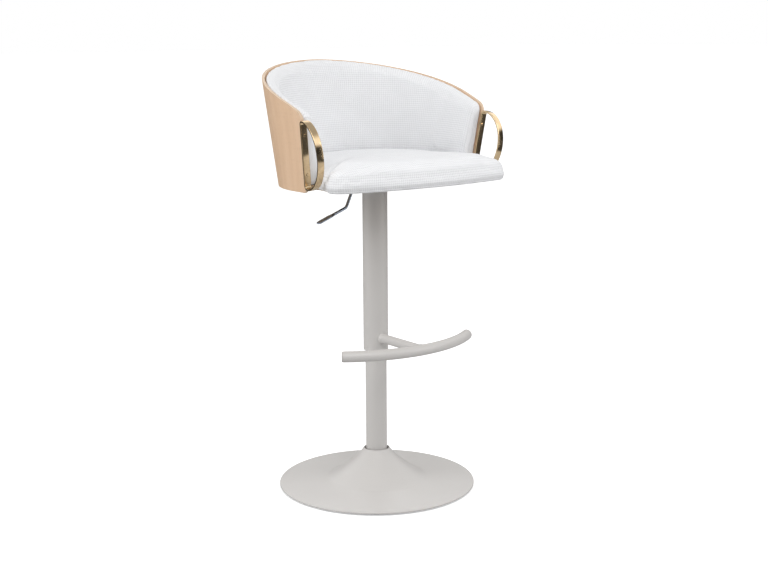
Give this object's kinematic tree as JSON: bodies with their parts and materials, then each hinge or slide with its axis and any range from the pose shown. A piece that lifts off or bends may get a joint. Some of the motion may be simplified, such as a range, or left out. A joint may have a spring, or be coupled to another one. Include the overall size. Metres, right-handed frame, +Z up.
{
  "type": "bar stool with footrest",
  "caption": "Height-adjustable swivel bar stool with a trumpet base, T footrest, release lever and an upholstered wood-backed tub seat with D-ring arm fronts.",
  "frame": {"origin": "on the floor, on the column's axis", "axes": "+Z up, -Y the way the sitter faces, +X the sitter's left"},
  "size_m": [0.5164, 0.465, 0.9792],
  "materials": {
    "powder_coat": "satin warm grey powder coat",
    "cap_plastic": "moulded plastic in the coat's warm grey",
    "floor_rubber": "black rubber",
    "ballast_iron": "rough cast iron",
    "plain_steel": "zinc-plated steel",
    "bright_steel": "bright chrome",
    "black_metal": "satin black paint",
    "white_nylon": "natural nylon",
    "black_nylon": "black nylon",
    "oak_veneer": "light oak veneer, clear satin lacquer",
    "plywood": "raw plywood",
    "white_weave": "coarse off-white basket weave",
    "gold_brass": "polished warm gold brass"
  },
  "bodies": {
    "base": {"floor_ring": "floor_rubber", "base_weight": "ballast_iron", "base_cover": "powder_coat", "tube_flange": "plain_steel", "flange_screw_1": "plain_steel", "flange_screw_2": "plain_steel", "flange_screw_3": "plain_steel", "pedestal_tube": "powder_coat", "foot_plug": "plain_steel", "guide_bush": "white_nylon"},
    "spindle": {"piston_rod": "bright_steel", "rod_clip": "plain_steel", "thrust_bearing": "plain_steel"},
    "lever_body": {"lever": "bright_steel"},
    "valve": {"valve_pin": "bright_steel"},
    "seat": {"gas_cylinder": "black_metal", "sleeve_tube": "powder_coat", "glide_bush": "black_nylon", "seat_hub": "plain_steel", "footrest_arm": "powder_coat", "footrest_bar": "powder_coat", "footrest_cap_left": "cap_plastic", "footrest_cap_right": "cap_plastic", "lever_housing": "plain_steel", "lever_pin": "plain_steel", "seat_plate": "black_metal", "plate_bolt_1": "plain_steel", "plate_bolt_2": "plain_steel", "plate_bolt_3": "plain_steel", "plate_bolt_4": "plain_steel", "seat_board": "plywood", "seat_cushion": "white_weave", "back_pad": "white_weave", "wood_shell": "oak_veneer", "shell_bracket_1": "plain_steel", "shell_bracket_2": "plain_steel", "shell_bracket_3": "plain_steel", "ring_left": "gold_brass", "ring_right": "gold_brass", "bracket_screw_low_1": "plain_steel", "bracket_screw_wall_1": "plain_steel", "bracket_screw_low_2": "plain_steel", "bracket_screw_wall_2": "plain_steel", "bracket_screw_low_3": "plain_steel", "bracket_screw_wall_3": "plain_steel", "ring_left_screw_1": "gold_brass", "ring_left_screw_2": "gold_brass", "ring_right_screw_1": "gold_brass", "ring_right_screw_2": "gold_brass"}
  },
  "joints": [
    {"name": "swivel", "type": "hinge", "parent": "base", "child": "spindle", "pos_m": [0, 0, 0.04], "axis": [0, 0, 1], "continuous": true},
    {"name": "height", "type": "slide", "parent": "spindle", "child": "seat", "axis": [0, 0, 1], "range_m": [-0.21, 0]},
    {"name": "lever_pull", "type": "hinge", "parent": "seat", "child": "lever_body", "pos_m": [-0.035, 0, 0.7044], "axis": [0, 1, 0], "range_deg": [0, 6], "stiffness_Nm_per_rad": 1.5, "springref_deg": -5.73},
    {"name": "valve_push", "type": "slide", "parent": "seat", "child": "valve", "axis": [0, 0, -1], "range_m": [0, 0.004], "stiffness_N_per_m": 400, "springref_m": -0.002}
  ],
  "couplings": [
    {"joint": "valve_push", "follows": "lever_pull", "m_per_rad": 0.038}
  ]
}
